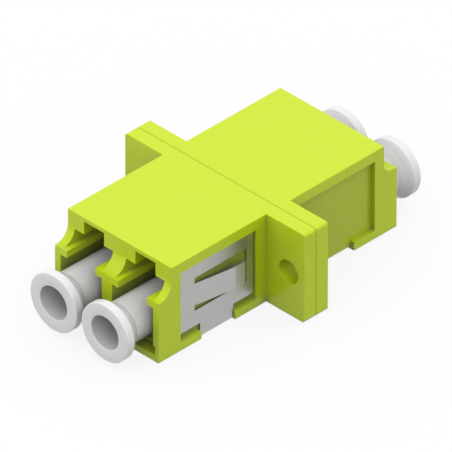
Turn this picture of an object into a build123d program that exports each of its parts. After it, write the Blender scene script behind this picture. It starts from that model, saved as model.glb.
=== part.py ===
from build123d import *
import os

# Duplex LC adapter with an SC footprint, in millimetres. Two moulded halves meet on the flange's
# mid-plane at Y = 0. The front half and its ports point to -Y, the underside lies on Z = 0.

# Body and flange
body_width = 12.6
body_height = 9.2
flange_thickness = 2.9        # both halves together
ear_corner_radius = 0.3
body_edge_radius = 0.04
flange_edge = 0.03
seam_edge = 0.08              # broken outline where the halves meet, seen as the seam
mount_hole_pitch = 18.0
mount_hole_height = 4.5
ear_margin = 1.91             # from a mounting hole's centre to the end of its ear
mount_hole_diameter = 2.3

# Ends of the halves, measured outwards from the seam
front_face = 12.9             # upper face, with the latch slots
front_shelf_height = 6.18     # top of the lower walls that stand past that face
front_step_radius = 1.5       # hollow curve from the face down to the walls
front_shelf_length = 0.08     # level part of the walls beyond that curve
rear_face = 12.9
rear_shelf_height = 6.25
rear_step_radius = 1.05
rear_shelf_length = 0.53

# Ports
port_pitch = 6.25
axis_height = 3.3             # fibre axis above the underside
bore_width = 4.64             # takes a 4.52 mm connector body
bore_height = 4.4
mouth_width = 5.0
mouth_floor = 0.66
lead_in_length = 2.5
corner_relief_depth = 0.24
corner_relief_height = 0.86
rib_gap = 3.46                # between the two guide ribs above the connector body
rib_thickness = 0.68
channel_width = 4.66          # wide channel for the latch shoulders
channel_height = 1.3
channel_length = 7.4          # inwards from the upper face
slot_width = 2.46             # narrow slot for the latch arm
slot_roof = 0.4
ledge_length = 2.2            # what the latch shoulders snap behind
pocket_length = 3.6
pocket_width = 4.3
pocket_roof = 0.65
web_thickness = 1.4           # wall across each port at the seam, one half's share

# Sleeve barrels and split sleeves
ferrule_bore = 1.246
sleeve_diameter = 1.62
sleeve_length = 6.8
sleeve_split = 0.35
sleeve_edge = 0.06
sleeve_radial_play = 0.115
sleeve_end_play = 0.1
barrel_diameter = 2.6
barrel_lip = 1.3              # end of the barrel that traps the sleeve
barrel_mouth_diameter = 1.5
barrel_mouth_chamfer = 0.25

# Side recesses and the folded clip that lies in the front pair
recess_depth = 0.45
recess_start = 2.64           # from the seam
recess_end = 11.8
recess_low = 0.865
recess_high = 8.12
recess_corner_radius = 0.05
clip_sheet = 0.22
clip_play = 0.02
clip_edge_gap = 0.05
clip_plate_start = 2.84
clip_plate_low = 1.57
clip_corner_radius = 0.25
clip_bend_radius = 0.06
strip_start = 5.25
strip_width = 4.0
notch_side_gap = 0.05
notch_corner_radius = 0.05
tab_root = 9.93
tab_knee = 5.65
tab_tip = 4.5
tab_low = 3.73
tab_height = 2.27
tab_spring = 0.7              # how far the tip stands out of the plate
tab_slot = 0.58
tab_tip_gap = 0.85
tab_corner_radius = 0.04

# Locating pins between the halves
pin_diameter = 1.2
pin_length = 0.9
pin_from_edge = 1.5
pin_fit = 0.05

# Dust plugs
plug_tube_diameter = 4.08
plug_hole_diameter = 3.27
plug_disc_diameter = 5.68
plug_disc_thickness = 0.8
plug_flare_length = 1.12      # cone that spreads from the tube to the disc
plug_standoff = 1.42          # bare tube between the front port's mouth and the cone
plug_grip = 2.0               # length of barrel that the plug covers
plug_fit = 0.05               # radial clearance on the barrel
plug_seat_gap = 0.05
plug_web = 1.2
plug_edge = 0.05
plug_tip_chamfer = 0.2

# Places that follow from those sizes
half_flange = flange_thickness / 2
flange_width = mount_hole_pitch + 2 * ear_margin
front_reach = front_face + front_step_radius + front_shelf_length
rear_reach = rear_face + rear_step_radius + rear_shelf_length
bore_low = axis_height - bore_height / 2
bore_high = axis_height + bore_height / 2
channel_low = bore_high + rib_thickness
channel_high = channel_low + channel_height
sleeve_room = sleeve_length / 2 + sleeve_end_play
barrel_tip = sleeve_room + barrel_lip
barrel_bore_radius = sleeve_diameter / 2 + sleeve_radial_play
recess_floor = body_width / 2 - recess_depth
strip_end = strip_start + strip_width
notch_start = strip_start - notch_side_gap
notch_end = strip_end + notch_side_gap
underside_depth = clip_sheet + 2 * clip_play
port_places = (-port_pitch / 2, port_pitch / 2)
through = 1.0                 # how far a cutting solid runs past the face that it opens
touch = 0.01                  # how near an edge must lie to the place it is looked for at


def block(x, y, z):
    """Box between two values along each axis."""
    centre = Pos((x[0] + x[1]) / 2, (y[0] + y[1]) / 2, (z[0] + z[1]) / 2)
    return centre * Box(x[1] - x[0], y[1] - y[0], z[1] - z[0])


def middle_block(width, y, z):
    """Box of a given width, centred on X = 0."""
    return block((-width / 2, width / 2), y, z)


def turned(profile):
    """Round solid about the Y axis from a closed outline of (radius, y) points."""
    return revolve(make_face(Polyline(*profile, close=True)), Axis.Y)


def body_shell(face, reach, shelf, step_radius):
    """Body of one half with its stepped end, solid, growing from the seam towards +Y."""
    hollow = CenterArc((face + step_radius, shelf + step_radius), step_radius, 180, 90)
    outline = Polyline(hollow @ 1, (reach, shelf), (reach, 0), (0, 0), (0, body_height),
                       (face, body_height), hollow @ 0)
    side = Plane.YZ * make_face(hollow + outline)
    body = extrude(side, body_width / 2, both=True)
    long_edges = body.edges().filter_by(Axis.Y).filter_by(lambda edge: edge.length > face - through)
    top_edge = body.edges().filter_by(Axis.X).group_by(Axis.Z)[-1].sort_by(Axis.Y)[-1]
    return fillet(long_edges + top_edge, body_edge_radius)


def flange_plate():
    """One half of the flange with its two mounting holes."""
    plate = middle_block(flange_width, (0, half_flange), (0, body_height))
    plate = fillet(plate.edges().filter_by(Axis.Y), ear_corner_radius)
    plate = chamfer(plate.faces().sort_by(Axis.Y)[-1].edges(), flange_edge)
    for side in (-1, 1):
        hole = Rot(90, 0, 0) * Cylinder(mount_hole_diameter / 2, flange_thickness * 2)
        plate -= Pos(side * mount_hole_pitch / 2, 0, mount_hole_height) * hole
    return plate


def lead_in(reach):
    """Tapered entrance of a port, centred on X = 0: the sides and the floor close in."""
    depth = reach - lead_in_length
    wide = Pos(0, (mouth_floor + bore_high) / 2) * Rectangle(mouth_width, bore_high - mouth_floor)
    narrow = Pos(0, axis_height) * Rectangle(bore_width, bore_height)
    mouth = Plane((0, reach, 0), x_dir=(1, 0, 0), z_dir=(0, -1, 0))
    inside = Plane((0, depth, 0), x_dir=(1, 0, 0), z_dir=(0, -1, 0))
    return loft([mouth * wide, inside * narrow])


def port_space(face, reach):
    """Everything that is hollow in one port, centred on X = 0, from the web to the open air."""
    end = reach + through
    relief_width = mouth_width + 2 * corner_relief_depth
    relief_top = mouth_floor + corner_relief_height
    ledge = face - ledge_length
    pocket_end = ledge - pocket_length
    space = middle_block(bore_width, (web_thickness, reach), (bore_low, bore_high))
    space += lead_in(reach)
    space += middle_block(mouth_width, (reach, end), (mouth_floor, bore_high))
    space += middle_block(relief_width, (reach - lead_in_length / 2, end), (mouth_floor, relief_top))
    space += middle_block(rib_gap, (web_thickness, end), (axis_height, channel_high))
    space += middle_block(channel_width, (face - channel_length, end), (channel_low, channel_high))
    space += middle_block(slot_width, (pocket_end, end), (channel_low, body_height - slot_roof))
    space += middle_block(pocket_width, (pocket_end, ledge), (channel_low, body_height - pocket_roof))
    return space


def barrel():
    """Sleeve barrel on a port's axis, standing out of the web, with the lip that traps the sleeve."""
    radius = barrel_diameter / 2
    return turned([(0, 0), (radius, 0), (radius, barrel_tip), (0, barrel_tip)])


def barrel_bore():
    """Bore through web and barrel: sleeve room, narrower lip and its chamfered mouth."""
    lip = barrel_mouth_diameter / 2
    profile = [(0, -through), (barrel_bore_radius, -through), (barrel_bore_radius, sleeve_room),
               (lip, sleeve_room), (lip, barrel_tip - barrel_mouth_chamfer),
               (lip + barrel_mouth_chamfer, barrel_tip), (lip + barrel_mouth_chamfer, barrel_tip + through),
               (0, barrel_tip + through)]
    return turned(profile)


def side_recess():
    """Shallow pocket in the body's +X side, with the notch that lets the clip leave it downwards."""
    outside = body_width / 2 + through
    pocket = block((recess_floor, outside), (recess_start, recess_end), (recess_low, recess_high))
    pocket = fillet(pocket.edges().filter_by(Axis.X), recess_corner_radius)
    notch = block((recess_floor, outside), (notch_start, notch_end), (-through, recess_low + through))
    recess = pocket + notch
    lips = recess.edges().filter_by(Axis.X)
    lips = lips.filter_by_position(Axis.Z, recess_low - touch, recess_low + touch)
    lips = lips.filter_by_position(Axis.Y, notch_start - touch, notch_end + touch)
    return fillet(lips, notch_corner_radius)


def clip_room():
    """Clip's whole room in one half: both recesses, and a channel round the lower edges and underside."""
    bend = clip_bend_radius + clip_play
    y = (notch_start, notch_end)
    channel = middle_block(body_width + 2 * through, y, (-through, underside_depth + bend))
    core = middle_block(2 * recess_floor, y, (underside_depth, body_height))
    core = fillet(core.edges().filter_by(Axis.Y).group_by(Axis.Z)[0], bend)
    side = side_recess()
    return side + mirror(side, about=Plane.YZ) + (channel - core)


def half(face, reach, shelf, step_radius):
    """One moulded half without its pins or sockets, growing from the seam towards +Y."""
    moulding = body_shell(face, reach, shelf, step_radius) + flange_plate()
    moulding = chamfer(moulding.faces().sort_by(Axis.Y)[0].outer_wire().edges(), seam_edge)
    moulding -= clip_room()
    for x in port_places:
        moulding -= Pos(x, 0, 0) * port_space(face, reach)
        moulding += Pos(x, 0, axis_height) * barrel()
        moulding -= Pos(x, 0, axis_height) * barrel_bore()
    return moulding


def pin_places():
    """Locating pins, one low on the right ear and one high on the left ear."""
    x = mount_hole_pitch / 2
    return [(x, pin_from_edge), (-x, body_height - pin_from_edge)]


def locating_pin(radius, length):
    """Pin or its socket on the Y axis, rooted in the seam and rising towards +Y."""
    root = -pin_diameter / 4
    return turned([(0, root), (radius, root), (radius, length), (0, length)])


def front_half():
    """Half with the pins, turned so that its ports point to -Y."""
    moulding = mirror(half(front_face, front_reach, front_shelf_height, front_step_radius), about=Plane.XZ)
    for x, z in pin_places():
        moulding += Pos(x, 0, z) * locating_pin(pin_diameter / 2, pin_length)
    return moulding


def rear_half():
    """Half with the sockets, its ports pointing to +Y."""
    moulding = half(rear_face, rear_reach, rear_shelf_height, rear_step_radius)
    for x, z in pin_places():
        moulding -= Pos(x, 0, z) * locating_pin(pin_diameter / 2 + pin_fit, pin_length + pin_fit)
    return moulding


def split_sleeve():
    """Zirconia sleeve on the Y axis, slit along its top so that it grips both ferrules."""
    inner, outer, end = ferrule_bore / 2, sleeve_diameter / 2, sleeve_length / 2
    profile = [(inner + sleeve_edge, -end), (outer - sleeve_edge, -end), (outer, sleeve_edge - end),
               (outer, end - sleeve_edge), (outer - sleeve_edge, end), (inner + sleeve_edge, end),
               (inner, end - sleeve_edge), (inner, sleeve_edge - end)]
    slit = middle_block(sleeve_split, (-end - through, end + through), (0, sleeve_diameter))
    return turned(profile) - slit


def tab_outline():
    """Edge view of the spring tab, in X and Y: from its root it leans out, then runs level to the tip."""
    inner = recess_floor + clip_play
    outer = inner + clip_sheet
    return Polyline((inner, -tab_root - clip_sheet), (inner, -tab_root), (inner + tab_spring, -tab_knee),
                    (inner + tab_spring, -tab_tip), (outer + tab_spring, -tab_tip),
                    (outer + tab_spring, -tab_knee), (outer, -tab_root), (outer, -tab_root - clip_sheet),
                    close=True)


def clip_side():
    """Side plate of the clip on +X, with its slot and sprung tab."""
    inner = recess_floor + clip_play
    outer = inner + clip_sheet
    plate = block((inner, outer), (clip_edge_gap - recess_end, -clip_plate_start),
                  (clip_plate_low, recess_high - clip_edge_gap))
    plate = fillet(plate.edges().filter_by(Axis.X), clip_corner_radius)
    window = block((inner - through, outer + through), (-tab_root, tab_tip_gap - tab_tip),
                   (tab_low - tab_slot, tab_low + tab_height + tab_slot))
    window = fillet(window.edges().filter_by(Axis.X), tab_corner_radius)
    tab = Pos(0, 0, tab_low) * extrude(make_face(tab_outline()), tab_height)
    tip_corners = tab.edges().filter_by(Axis.X).group_by(Axis.Y)[-1]
    return plate - window + fillet(tip_corners, tab_corner_radius)


def clip_strip():
    """Strip that joins the side plates round the underside of the body."""
    inner = recess_floor + clip_play
    y = (-strip_end, -strip_start)
    low = clip_play
    top = clip_plate_low + 2 * clip_corner_radius
    outside = middle_block(2 * (inner + clip_sheet), y, (low, top))
    inside = middle_block(2 * inner, (y[0] - through, y[1] + through), (low + clip_sheet, top + through))
    outside = fillet(outside.edges().filter_by(Axis.Y).group_by(Axis.Z)[0], clip_bend_radius + clip_sheet)
    inside = fillet(inside.edges().filter_by(Axis.Y).group_by(Axis.Z)[0], clip_bend_radius)
    return outside - inside


def panel_clip():
    """Folded spring sheet: two side plates and the strip under the body, one piece."""
    side = clip_side()
    return clip_strip() + side + mirror(side, about=Plane.YZ)


def dust_plug():
    """Hat-shaped plug on a port's axis, growing towards +Y: it seats on the barrel's tip."""
    tube, hole = plug_tube_diameter / 2, plug_hole_diameter / 2
    disc = plug_disc_diameter / 2
    grip = barrel_diameter / 2 + plug_fit
    tip = barrel_tip - plug_grip
    seat = barrel_tip + plug_seat_gap
    flare_start = front_reach + plug_standoff
    disc_start = flare_start + plug_flare_length
    end = disc_start + plug_disc_thickness
    profile = [(grip, tip), (tube - plug_tip_chamfer, tip), (tube, tip + plug_tip_chamfer),
               (tube, flare_start), (disc, disc_start), (disc, end - plug_edge),
               (disc - plug_edge, end), (hole + plug_edge, end),
               (hole, end - plug_edge), (hole, seat + plug_web), (0, seat + plug_web), (0, seat),
               (grip, seat)]
    return turned(profile)


os.makedirs("parts", exist_ok=True)
plug = dust_plug()
sleeve = split_sleeve()
left, right = port_places
pieces = {
    "front_housing": front_half(),
    "rear_housing": rear_half(),
    "panel_clip": panel_clip(),
    "alignment_sleeve_left": Pos(left, 0, axis_height) * sleeve,
    "alignment_sleeve_right": Pos(right, 0, axis_height) * sleeve,
    "dust_plug_front_left": Pos(left, 0, axis_height) * mirror(plug, about=Plane.XZ),
    "dust_plug_front_right": Pos(right, 0, axis_height) * mirror(plug, about=Plane.XZ),
    "dust_plug_rear_left": Pos(left, 0, axis_height) * plug,
    "dust_plug_rear_right": Pos(right, 0, axis_height) * plug,
}
for name, piece in pieces.items():
    export_step(piece, f"parts/{name}.step")
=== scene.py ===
import math
import bpy
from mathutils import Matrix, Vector


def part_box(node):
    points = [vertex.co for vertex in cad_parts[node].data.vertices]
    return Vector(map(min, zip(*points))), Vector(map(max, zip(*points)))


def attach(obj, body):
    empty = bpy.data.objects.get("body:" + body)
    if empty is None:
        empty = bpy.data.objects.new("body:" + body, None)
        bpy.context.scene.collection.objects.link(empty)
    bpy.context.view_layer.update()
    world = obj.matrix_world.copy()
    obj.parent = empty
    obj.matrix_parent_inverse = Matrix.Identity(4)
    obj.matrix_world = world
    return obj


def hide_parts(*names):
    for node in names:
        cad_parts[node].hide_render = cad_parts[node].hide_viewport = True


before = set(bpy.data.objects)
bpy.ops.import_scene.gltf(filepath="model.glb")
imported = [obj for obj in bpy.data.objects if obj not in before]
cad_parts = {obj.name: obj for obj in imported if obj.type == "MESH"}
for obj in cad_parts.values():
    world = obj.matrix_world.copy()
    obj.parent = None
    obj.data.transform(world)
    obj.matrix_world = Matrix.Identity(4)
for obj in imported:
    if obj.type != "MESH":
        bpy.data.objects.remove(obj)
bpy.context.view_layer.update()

# The view
# A long lens far away makes the picture nearly parallel. It looks from front right and above,
# at the usual drawing-board angle, and the field is as wide as the picture is at the adapter.
MM = 0.001
view_azimuth = math.radians(45.03)
view_elevation = math.radians(35.03)
view_field = 38.938 * MM
view_lens = 1690.0
view_sensor = 36.0
view_nearest = 0.1
view_farthest = 10.0
look_right = -0.028 * MM
look_up = 3.355 * MM

back = Vector((math.sin(view_azimuth) * math.cos(view_elevation),
               -math.cos(view_azimuth) * math.cos(view_elevation), math.sin(view_elevation)))
right = Vector((math.cos(view_azimuth), math.sin(view_azimuth), 0))
up = back.cross(right)
camera_data = bpy.data.cameras.new("studio_camera")
camera_data.lens = view_lens
camera_data.sensor_width = view_sensor
camera_data.clip_start = view_nearest
camera_data.clip_end = view_farthest
camera = bpy.data.objects.new("studio_camera", camera_data)
bpy.context.scene.collection.objects.link(camera)
camera.location = right * look_right + up * look_up + back * (view_field * view_lens / view_sensor)
camera.rotation_mode = "QUATERNION"
camera.rotation_quaternion = (-back).to_track_quat("-Z", "Y")
bpy.context.scene.camera = camera
bpy.context.scene.view_settings.view_transform = "Standard"

# The studio
# An even white room lights the adapter softly, with a weak low lamp at the ports. The floor looks
# white to the eye and in reflections and keeps a faint shadow, but throws little light back up.
room_white = (1, 1, 1, 1)
room_light = 1.0
lamp_size = 30 * MM
lamp_power = 0.0009           # in watts, and so little because it stands a few centimetres away
lamp_place = Vector((-10, -50, 10)) * MM
lamp_aim = Vector((0, -14, 4)) * MM
floor_half = 1.5
floor_white = (1, 1, 1, 1)
floor_light = 1.0             # plain white, whatever falls on the floor
floor_glow = 0.86             # share of the seen floor that is plain white, the rest takes shadows
floor_bounce = 0.03           # how much of the room's light the floor sends back to the adapter


def feed(tree, value, socket):
    """Link a socket to an input, or set the input to a plain value."""
    if isinstance(value, bpy.types.NodeSocket):
        tree.links.new(value, socket)
    else:
        socket.default_value = value


def add(tree, kind, **values):
    """New node, with inputs given by name as sockets or values. A name's spaces are written as _."""
    made = tree.nodes.new(kind)
    for name, value in values.items():
        feed(tree, value, made.inputs[name.replace("_", " ")])
    return made


def maths(tree, operation, *values):
    """Output of a Math node on sockets or plain numbers."""
    made = tree.nodes.new("ShaderNodeMath")
    made.operation = operation
    for value, socket in zip(values, made.inputs):
        feed(tree, value, socket)
    return made.outputs[0]


world = bpy.data.worlds.new("studio_room")
bpy.context.scene.world = world
world.use_nodes = True
world.node_tree.nodes["Background"].inputs["Color"].default_value = room_white
world.node_tree.nodes["Background"].inputs["Strength"].default_value = room_light

lamp_data = bpy.data.lights.new("low_fill", "AREA")
lamp_data.size = lamp_size
lamp_data.energy = lamp_power
lamp = bpy.data.objects.new("low_fill", lamp_data)
bpy.context.scene.collection.objects.link(lamp)
lamp.location = lamp_place
lamp.rotation_mode = "QUATERNION"
lamp.rotation_quaternion = (lamp_aim - lamp_place).to_track_quat("-Z", "Y")
lamp.visible_camera = False

floor_mesh = bpy.data.meshes.new("studio_floor")
floor_mesh.from_pydata([(-floor_half, -floor_half, 0), (floor_half, -floor_half, 0),
                        (floor_half, floor_half, 0), (-floor_half, floor_half, 0)], [], [(0, 1, 2, 3)])
floor = bpy.data.objects.new("studio_floor", floor_mesh)
bpy.context.scene.collection.objects.link(floor)
floor_material = bpy.data.materials.new("pale_floor")
floor_material.use_nodes = True
floor_material.cycles.emission_sampling = "NONE"
tree = floor_material.node_tree
tree.nodes.clear()
path = add(tree, "ShaderNodeLightPath").outputs
seen = maths(tree, "MAXIMUM", path["Is Camera Ray"], path["Is Glossy Ray"])
seen = maths(tree, "MAXIMUM", seen, path["Is Transmission Ray"])
white_matt = add(tree, "ShaderNodeBsdfDiffuse", Color=floor_white)
white_glow = add(tree, "ShaderNodeEmission", Color=floor_white, Strength=floor_light)
seen_floor = add(tree, "ShaderNodeMixShader", Fac=floor_glow)
dim_floor = add(tree, "ShaderNodeBsdfDiffuse", Color=(floor_bounce, floor_bounce, floor_bounce, 1))
choice = add(tree, "ShaderNodeMixShader", Fac=seen)
for shader, socket in ((white_matt, seen_floor.inputs[1]), (white_glow, seen_floor.inputs[2]),
                       (dim_floor, choice.inputs[1]), (seen_floor, choice.inputs[2])):
    tree.links.new(shader.outputs[0], socket)
add(tree, "ShaderNodeOutputMaterial", Surface=choice.outputs[0])
floor_mesh.materials.append(floor_material)

# The two housing halves
# Injection-moulded PBT in lime green, satin from a finely spark-eroded tool. The halves are pinned
# and welded face to face, which leaves the seam round the flange. Hollows and recess floors get painted
# shade.
lime = (0.675, 0.845, 0.013)
# painted shade: the colour that hollows and creases go to
lime_hollow_shade = (0.34, 0.41, 0.14)
lime_dimmed_bounce = (0.12, 0.14, 0.05)        # dimmed colour the walls show to bounced light only: painted shade inside the ports
lime_recess_shade = {"front": (0.31, 0.38, 0.05), "rear": (0.56, 0.69, 0.02)}    # painted shade on the recess floors, heavier on the front half, under the clip
lime_roughness = 0.28
lime_gloss = 0.4
lime_grain = 0.11 * MM
lime_grain_depth = 0.004 * MM
lime_flow = 7.0 * MM
lime_flow_strength = 0.03
recess_floor = 5.85 * MM      # from the middle of the body to the floor of a side recess
recess_slack = 0.05 * MM
recess_facing = 0.9           # how squarely a floor faces sideways
grain_detail = 2.0
grain_contrast = 0.6
grain_unevenness = 0.035      # how far the grain moves the roughness
grain_bump = 0.35
flow_detail = 3.0
flow_contrast = 0.5
flow_waver = 0.4
flow_stretch = 0.35           # a streak is about three times as long as it is wide
flow_middle = 0.5             # mean of the noise, where the colour stays as it is
hollow_reach = 1.5 * MM       # walls nearer than this shade each other
hollow_samples = 12
hollow_open = 0.6             # share of open sky above which a spot has the plain colour
hollow_closed = 0.1           # share below which it has the full painted shade of the hollows


def moulded_skin():
    """Node group for moulded plastic: fine tool grain, and slow streaks where the melt flowed."""
    group = bpy.data.node_groups.new("moulded_skin", "ShaderNodeTree")
    group.interface.new_socket("Colour", in_out="INPUT", socket_type="NodeSocketColor")
    for name in ("Roughness", "Grain Size", "Flow Size", "Flow Strength"):
        group.interface.new_socket(name, in_out="INPUT", socket_type="NodeSocketFloat")
    group.interface.new_socket("Colour", in_out="OUTPUT", socket_type="NodeSocketColor")
    for name in ("Roughness", "Height"):
        group.interface.new_socket(name, in_out="OUTPUT", socket_type="NodeSocketFloat")
    given = add(group, "NodeGroupInput").outputs
    place = add(group, "ShaderNodeTexCoord").outputs["Object"]
    along = add(group, "ShaderNodeMapping", Vector=place, Scale=(1.0, flow_stretch, 1.0)).outputs[0]
    grain = add(group, "ShaderNodeTexNoise", Vector=place, Detail=grain_detail, Roughness=grain_contrast,
                Scale=maths(group, "DIVIDE", 1.0, given["Grain Size"])).outputs["Fac"]
    flow = add(group, "ShaderNodeTexNoise", Vector=along, Detail=flow_detail, Roughness=flow_contrast,
               Distortion=flow_waver,
               Scale=maths(group, "DIVIDE", 1.0, given["Flow Size"])).outputs["Fac"]
    streak = maths(group, "SUBTRACT", flow, flow_middle)
    streak = maths(group, "MULTIPLY_ADD", streak, given["Flow Strength"], 1.0)
    tint = add(group, "ShaderNodeHueSaturation", Color=given["Colour"], Value=streak)
    uneven = add(group, "ShaderNodeMapRange", Value=grain,
                 To_Min=-grain_unevenness, To_Max=grain_unevenness)
    add(group, "NodeGroupOutput", Colour=tint.outputs[0], Height=grain,
        Roughness=maths(group, "ADD", given["Roughness"], uneven.outputs[0]))
    return group


def mixed(tree, share, first, second):
    """Colour output of a Mix node between two colours, each a socket or three numbers."""
    mix = add(tree, "ShaderNodeMix")
    mix.data_type = "RGBA"
    feed(tree, share, mix.inputs[0])
    colours = [socket for socket in mix.inputs if socket.type == "RGBA"]
    for colour, socket in zip((first, second), colours):
        feed(tree, colour if isinstance(colour, bpy.types.NodeSocket) else (*colour, 1), socket)
    return next(socket for socket in mix.outputs if socket.type == "RGBA")


def recess_floors(tree):
    """Mask that is 1 on the floors of the side recesses."""
    place = add(tree, "ShaderNodeTexCoord").outputs
    across = add(tree, "ShaderNodeSeparateXYZ", Vector=place["Object"]).outputs["X"]
    facing = add(tree, "ShaderNodeSeparateXYZ", Vector=place["Normal"]).outputs["X"]
    level = maths(tree, "COMPARE", maths(tree, "ABSOLUTE", across), recess_floor, recess_slack)
    sideways = maths(tree, "GREATER_THAN", maths(tree, "ABSOLUTE", facing), recess_facing)
    return maths(tree, "MULTIPLY", level, sideways)


def moulded_plastic(name, colour, patch, patch_shade_colour, hollow_shade_colour, dimmed_bounce_colour,
                    roughness, gloss, grain, grain_depth, flow, flow_strength):
    """Satin plastic on the moulded skin, with painted shade on one patch and in hollows, and a dimmed
    colour for bounced light.
    """
    material = bpy.data.materials.new(name)
    material.use_nodes = True
    tree = material.node_tree
    shader = tree.nodes["Principled BSDF"]
    shader.inputs["Specular IOR Level"].default_value = gloss
    skin = tree.nodes.new("ShaderNodeGroup")
    skin.node_tree = skin_group
    for socket, value in (("Colour", (*colour, 1)), ("Roughness", roughness), ("Grain Size", grain),
                          ("Flow Size", flow), ("Flow Strength", flow_strength)):
        skin.inputs[socket].default_value = value
    # Painted shade: darker in hollows by how little open sky a spot has, darker on the patch, and a
    # dimmed colour for light bounced off it
    open_sky = add(tree, "ShaderNodeAmbientOcclusion", Distance=hollow_reach)
    open_sky.samples = hollow_samples
    hollow = add(tree, "ShaderNodeMapRange", Value=open_sky.outputs["AO"],
                 From_Min=hollow_open, From_Max=hollow_closed)
    bouncing = add(tree, "ShaderNodeLightPath").outputs["Is Diffuse Ray"]
    patched = mixed(tree, patch(tree), skin.outputs["Colour"], patch_shade_colour)
    hollow_shaded = mixed(tree, hollow.outputs[0], patched, hollow_shade_colour)
    feed(tree, mixed(tree, bouncing, hollow_shaded, dimmed_bounce_colour), shader.inputs["Base Color"])
    feed(tree, skin.outputs["Roughness"], shader.inputs["Roughness"])
    bump = add(tree, "ShaderNodeBump", Strength=grain_bump, Distance=grain_depth,
               Height=skin.outputs["Height"])
    feed(tree, bump.outputs[0], shader.inputs["Normal"])
    return material


skin_group = moulded_skin()
for half, recess_shade in lime_recess_shade.items():
    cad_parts[half + "_housing"].material_slots[0].material = moulded_plastic(
        half + "_lime_plastic", lime, recess_floors, recess_shade, lime_hollow_shade, lime_dimmed_bounce,
        lime_roughness, lime_gloss, lime_grain, lime_grain_depth, lime_flow, lime_flow_strength)

# The folded spring clip
# One strip of spring stainless, blanked, folded into a U under the front half and clipped into its
# side recesses. The rolled surface has fine lines along the adapter, and the tabs spring outwards.
steel = (0.43, 0.43, 0.42)
steel_roughness = 0.32
steel_unevenness = 0.05
steel_line = 0.05 * MM        # width of one rolling line
steel_line_stretch = 0.02     # a line is fifty times as long as it is wide
steel_line_depth = 0.0008 * MM
steel_line_bump = 0.5
steel_line_tone = 0.04
steel_line_detail = 3.0
steel_line_contrast = 0.7
steel_cloud = 1.6 * MM
steel_cloud_tone = 0.03
steel_cloud_detail = 2.0
steel_cloud_contrast = 0.5
noise_low, noise_high = 0.3, 0.7        # where nearly all of a noise's values lie


def rolled_steel():
    """Stainless sheet: rolling lines along Y in bump and roughness, and faint clouds in the tone."""
    material = bpy.data.materials.new("rolled_steel")
    material.use_nodes = True
    tree = material.node_tree
    shader = tree.nodes["Principled BSDF"]
    shader.inputs["Metallic"].default_value = 1.0
    place = add(tree, "ShaderNodeTexCoord").outputs["Object"]
    along = add(tree, "ShaderNodeMapping", Vector=place, Scale=(1.0, steel_line_stretch, 1.0))
    lines = add(tree, "ShaderNodeTexNoise", Vector=along.outputs[0], Scale=1 / steel_line,
                Detail=steel_line_detail, Roughness=steel_line_contrast).outputs["Fac"]
    clouds = add(tree, "ShaderNodeTexNoise", Vector=place, Scale=1 / steel_cloud,
                 Detail=steel_cloud_detail, Roughness=steel_cloud_contrast).outputs["Fac"]

    def spread(value, middle, reach):
        """A noise's values, spread evenly round a middle one."""
        return add(tree, "ShaderNodeMapRange", Value=value, From_Min=noise_low, From_Max=noise_high,
                   To_Min=middle - reach, To_Max=middle + reach).outputs[0]

    tone = maths(tree, "MULTIPLY", spread(clouds, 1.0, steel_cloud_tone),
                 spread(lines, 1.0, steel_line_tone))
    colour = add(tree, "ShaderNodeHueSaturation", Color=(*steel, 1), Value=tone)
    bump = add(tree, "ShaderNodeBump", Strength=steel_line_bump, Distance=steel_line_depth, Height=lines)
    feed(tree, colour.outputs[0], shader.inputs["Base Color"])
    feed(tree, spread(lines, steel_roughness, steel_unevenness), shader.inputs["Roughness"])
    feed(tree, bump.outputs[0], shader.inputs["Normal"])
    return material


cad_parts["panel_clip"].material_slots[0].material = rolled_steel()

# The split sleeves
# Ground zirconia tubes, slit along the top and trapped in the barrels of the two halves. They are
# ivory white and glossy, with a little light inside and fine grinding lines round them.
zirconia = (0.88, 0.87, 0.83)
zirconia_ior = 2.1
zirconia_milkiness = 0.3
zirconia_depth = 0.2 * MM
zirconia_roughness = (0.12, 0.24)
grinding_line = 0.04 * MM
grinding_stretch = 0.05       # a line is twenty times as long as it is wide
grinding_detail = 2.0
grinding_tone = (0.96, 1.0)

sleeve_material = bpy.data.materials.new("ground_zirconia")
sleeve_material.use_nodes = True
tree = sleeve_material.node_tree
shader = tree.nodes["Principled BSDF"]
shader.inputs["IOR"].default_value = zirconia_ior
shader.inputs["Subsurface Weight"].default_value = zirconia_milkiness
shader.inputs["Subsurface Scale"].default_value = zirconia_depth
place = add(tree, "ShaderNodeTexCoord").outputs["Object"]
around = add(tree, "ShaderNodeMapping", Vector=place, Scale=(grinding_stretch, 1.0, grinding_stretch))
lines = add(tree, "ShaderNodeTexNoise", Vector=around.outputs[0], Scale=1 / grinding_line,
            Detail=grinding_detail).outputs["Fac"]
tone = add(tree, "ShaderNodeMapRange", Value=lines, To_Min=grinding_tone[0], To_Max=grinding_tone[1])
colour = add(tree, "ShaderNodeHueSaturation", Color=(*zirconia, 1), Value=tone.outputs[0])
rough = add(tree, "ShaderNodeMapRange", Value=lines, To_Min=zirconia_roughness[0],
            To_Max=zirconia_roughness[1])
feed(tree, colour.outputs[0], shader.inputs["Base Color"])
feed(tree, rough.outputs[0], shader.inputs["Roughness"])
for side in ("left", "right"):
    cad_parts["alignment_sleeve_" + side].material_slots[0].material = sleeve_material

# The dust plugs
# Hat-shaped plugs, injection moulded in soft white polythene. Each slips over the barrel in its
# port and is pulled out by its disc, which has a blind hole in its face. The tube is painted
# greyer than the disc, as shade where it sits in the port.
plug_white = (0.96, 0.96, 0.955)
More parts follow.
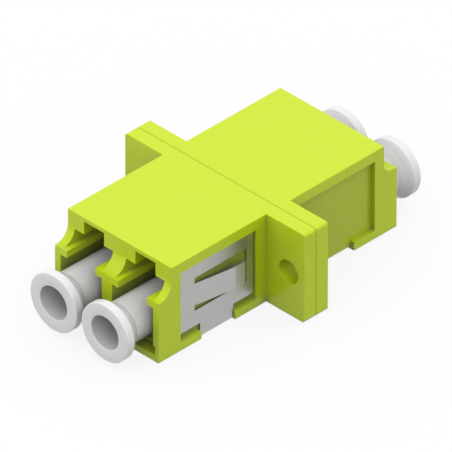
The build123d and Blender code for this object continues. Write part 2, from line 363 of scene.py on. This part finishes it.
# painted shade on the tube, in the hollows, and for bounced light
plug_tube_shaded_white = (0.78, 0.78, 0.775)
plug_hollow_shade = (0.8, 0.8, 0.8)
plug_dimmed_bounce = (0.25, 0.25, 0.25)
plug_roughness = 0.25
plug_gloss = 1.0
plug_grain = 0.16 * MM
plug_grain_depth = 0.003 * MM
plug_flow = 5.0 * MM
plug_flow_strength = 0.02
plug_milkiness = 0.15
plug_light_reach = 0.5 * MM
plug_light_spread = (1.0, 1.0, 1.0)     # white light, so all three colours reach equally far
plug_tube_radius = 2.04 * MM
plug_hole_radius = 1.635 * MM
plug_grip_radius = 1.35 * MM
plug_grip_depth = 2.05 * MM
plug_web = 1.2 * MM
plug_disc_thickness = 0.8 * MM
plug_flare_length = 1.12 * MM
plug_waist_radius = 2.4 * MM
plug_waist_length = 0.5 * MM            # from the waist of the flare to the back of the disc
plug_waist_rounding = 0.9 * MM
plug_rounding = 0.07 * MM
plug_rounding_steps = 4
plug_full_shade_until = 15.6 * MM              # up to here from the adapter's middle the tube has its full painted shade
plug_no_shade_from = 17.0 * MM             # and from here on the disc has its full colour
plug_segments = 96
plug_weld = 0.001 * MM
plug_outline = (              # each corner's radius, its place along the plug and its rounding
    ("Axis", "Seat", "Rounding"), ("Grip Radius", "Seat", "Rounding"),
    ("Grip Radius", "Tip", "Rounding"), ("Tube Radius", "Tip", "Rounding"),
    ("Tube Radius", "Flare", "Rounding"), ("Waist Radius", "Waist", "Waist Rounding"),
    ("Disc Radius", "Disc", "Rounding"), ("Disc Radius", "End", "Rounding"),
    ("Hole Radius", "End", "Rounding"), ("Hole Radius", "Hole Floor", "Rounding"),
    ("Axis", "Hole Floor", "Rounding"))


def tube_shade_mask(tree):
    """Mask of painted shade that is 1 on a plug's tube and falls to 0 through the flare to its disc."""
    place = add(tree, "ShaderNodeTexCoord").outputs["Object"]
    along = add(tree, "ShaderNodeSeparateXYZ", Vector=place).outputs["Y"]
    return add(tree, "ShaderNodeMapRange", Value=maths(tree, "ABSOLUTE", along),
               From_Min=plug_no_shade_from, From_Max=plug_full_shade_until).outputs[0]


def plug_lathe():
    """Geometry Nodes tree that turns a plug from its outline's named sizes and sets it in its port."""
    tree = bpy.data.node_groups.new("plug_lathe", "GeometryNodeTree")
    tree.is_modifier = True
    names = dict.fromkeys(name for corner in plug_outline for name in corner)
    kinds = {**dict.fromkeys((*names, "Turn"), "Float"), "Segments": "Int", "Port": "Vector",
             "Material": "Material"}
    for name, kind in kinds.items():
        tree.interface.new_socket(name, in_out="INPUT", socket_type="NodeSocket" + kind)
    tree.interface.new_socket("Geometry", in_out="OUTPUT", socket_type="NodeSocketGeometry")
    given = add(tree, "NodeGroupInput").outputs

    number = add(tree, "GeometryNodeInputIndex").outputs[0]
    switches = []
    for kind in ("VECTOR", "FLOAT"):
        switch = tree.nodes.new("GeometryNodeIndexSwitch")
        switch.data_type = kind
        while len(switch.index_switch_items) < len(plug_outline):
            switch.index_switch_items.new()
        feed(tree, number, switch.inputs[0])
        switches.append(switch)
    corner_place, corner_rounding = switches
    for index, (radius, height, rounding) in enumerate(plug_outline, start=1):
        corner = add(tree, "ShaderNodeCombineXYZ", X=given[radius], Y=given[height])
        feed(tree, corner.outputs[0], corner_place.inputs[index])
        feed(tree, given[rounding], corner_rounding.inputs[index])
    corners = add(tree, "GeometryNodeMeshLine", Count=len(plug_outline)).outputs["Mesh"]
    placed = add(tree, "GeometryNodeSetPosition", Geometry=corners, Position=corner_place.outputs[0])
    outline = add(tree, "GeometryNodeMeshToCurve", Mesh=placed.outputs[0])
    rounded = tree.nodes.new("GeometryNodeFilletCurve")
    rounded.mode = "POLY"
    feed(tree, plug_rounding_steps, rounded.inputs["Count"])
    feed(tree, outline.outputs[0], rounded.inputs["Curve"])
    feed(tree, corner_rounding.outputs[0], rounded.inputs["Radius"])

    # The ring that the outline follows is as large as the tube, so the outline is moved in by that.
    ring = add(tree, "GeometryNodeCurvePrimitiveCircle", Resolution=given["Segments"],
               Radius=given["Tube Radius"])
    ring_upright = add(tree, "GeometryNodeSetCurveNormal", Curve=ring.outputs["Curve"])
    ring_upright.mode = "Z_UP"
    inwards = add(tree, "ShaderNodeCombineXYZ", X=maths(tree, "MULTIPLY", given["Tube Radius"], -1.0))
    profile = add(tree, "GeometryNodeTransform", Geometry=rounded.outputs[0],
                  Translation=inwards.outputs[0])
    turned = add(tree, "GeometryNodeCurveToMesh", Curve=ring_upright.outputs[0],
                 Profile_Curve=profile.outputs[0])
    closed = add(tree, "GeometryNodeMergeByDistance", Geometry=turned.outputs[0], Distance=plug_weld)
    angle = add(tree, "ShaderNodeCombineXYZ", X=given["Turn"])
    seated = add(tree, "GeometryNodeTransform", Geometry=closed.outputs[0], Rotation=angle.outputs[0],
                 Translation=given["Port"])
    smooth = add(tree, "GeometryNodeSetShadeSmooth", Geometry=seated.outputs[0])
    real = add(tree, "GeometryNodeRealizeInstances", Geometry=smooth.outputs[0])
    painted = add(tree, "GeometryNodeSetMaterial", Geometry=real.outputs[0], Material=given["Material"])
    add(tree, "NodeGroupOutput", Geometry=painted.outputs[0])
    return tree


plug_material = moulded_plastic(
    "white_polythene", plug_white, tube_shade_mask, plug_tube_shaded_white, plug_hollow_shade, plug_dimmed_bounce,
    plug_roughness, plug_gloss, plug_grain, plug_grain_depth, plug_flow, plug_flow_strength)
plug_shader = plug_material.node_tree.nodes["Principled BSDF"]
plug_shader.inputs["Subsurface Weight"].default_value = plug_milkiness
plug_shader.inputs["Subsurface Radius"].default_value = plug_light_spread
plug_shader.inputs["Subsurface Scale"].default_value = plug_light_reach
lathe = plug_lathe()
quarter_turn = math.radians(90)
# The lathe makes a plug downwards, so a quarter turn back brings it to the front.
for end, turn in (("front", -quarter_turn), ("rear", quarter_turn)):
    for side in ("left", "right"):
        node = f"dust_plug_{end}_{side}"
        low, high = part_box(node)
        tip, end_face = sorted((abs(low.y), abs(high.y)))
        seat = tip + plug_grip_depth
        disc = end_face - plug_disc_thickness
        sizes = {"Axis": 0.0, "Grip Radius": plug_grip_radius, "Tube Radius": plug_tube_radius,
                 "Waist Radius": plug_waist_radius, "Disc Radius": (high.x - low.x) / 2,
                 "Hole Radius": plug_hole_radius, "Tip": tip, "Seat": seat,
                 "Hole Floor": seat + plug_web, "Flare": disc - plug_flare_length,
                 "Waist": disc - plug_waist_length, "Disc": disc, "End": end_face,
                 "Rounding": plug_rounding, "Waist Rounding": plug_waist_rounding,
                 "Turn": turn, "Segments": plug_segments, "Material": plug_material,
                 "Port": Vector(((low.x + high.x) / 2, 0, (low.z + high.z) / 2))}
        plug = bpy.data.objects.new(f"plug_{end}_{side}", bpy.data.meshes.new(f"plug_{end}_{side}"))
        bpy.context.scene.collection.objects.link(plug)
        turning = plug.modifiers.new("plug_lathe", "NODES")
        turning.node_group = lathe
        for socket in lathe.interface.items_tree:
            if socket.in_out == "INPUT":
                turning[socket.identifier] = sizes[socket.name]
        plug.modifiers.new("flat_faces", "WEIGHTED_NORMAL")
        evaluated = bpy.context.evaluated_depsgraph_get()
        mesh = bpy.data.meshes.new_from_object(plug.evaluated_get(evaluated), depsgraph=evaluated)
        plug.modifiers.clear()
        plug.data = mesh
        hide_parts(node)
        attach(plug, f"{end}_{side}_plug")
